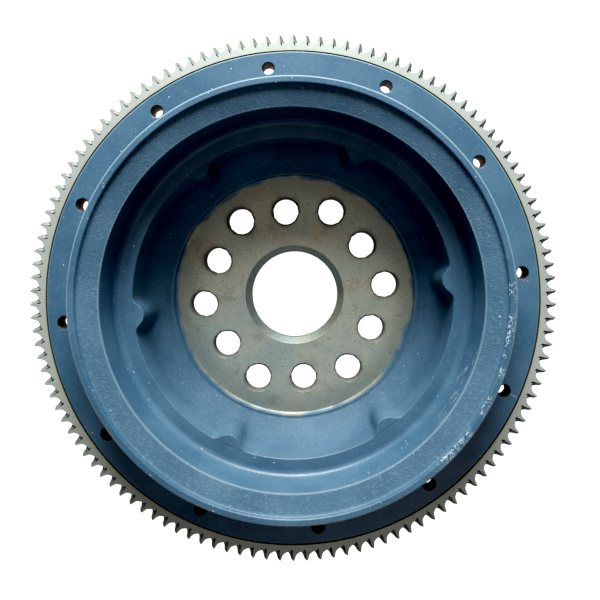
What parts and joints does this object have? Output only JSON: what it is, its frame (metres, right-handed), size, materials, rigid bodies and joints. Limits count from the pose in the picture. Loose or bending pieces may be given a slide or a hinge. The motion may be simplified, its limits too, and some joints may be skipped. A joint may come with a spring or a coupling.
{
  "type": "flywheel",
  "caption": "Deep pot-shaped engine flywheel: bolted hub with centre bore, bowl with bosses, flange with bolt holes, raised heavy ring and a toothed starter ring gear.",
  "frame": {"origin": "on the turning axis, at the centre of the back face that seats on the crankshaft, which is the lowest face", "axes": "+Z along the turning axis, from the crankshaft towards the open side of the bowl; +X 6.2 degrees clockwise of a boss, as seen from +Z"},
  "size_m": [0.3946, 0.3946, 0.105],
  "materials": {
    "blue_paint": "satin steel-blue spray paint over an iron casting, smooth on machined faces and grainy where cast",
    "bare_iron": "machined, left unpainted, lightly oiled, with pale brown stains",
    "gear_steel": "turned and hobbed steel, unpainted, dull, light rust film in places"
  },
  "bodies": {
    "root": {"flywheel_body": "blue_paint", "ring_gear": "gear_steel"}
  },
  "joints": []
}
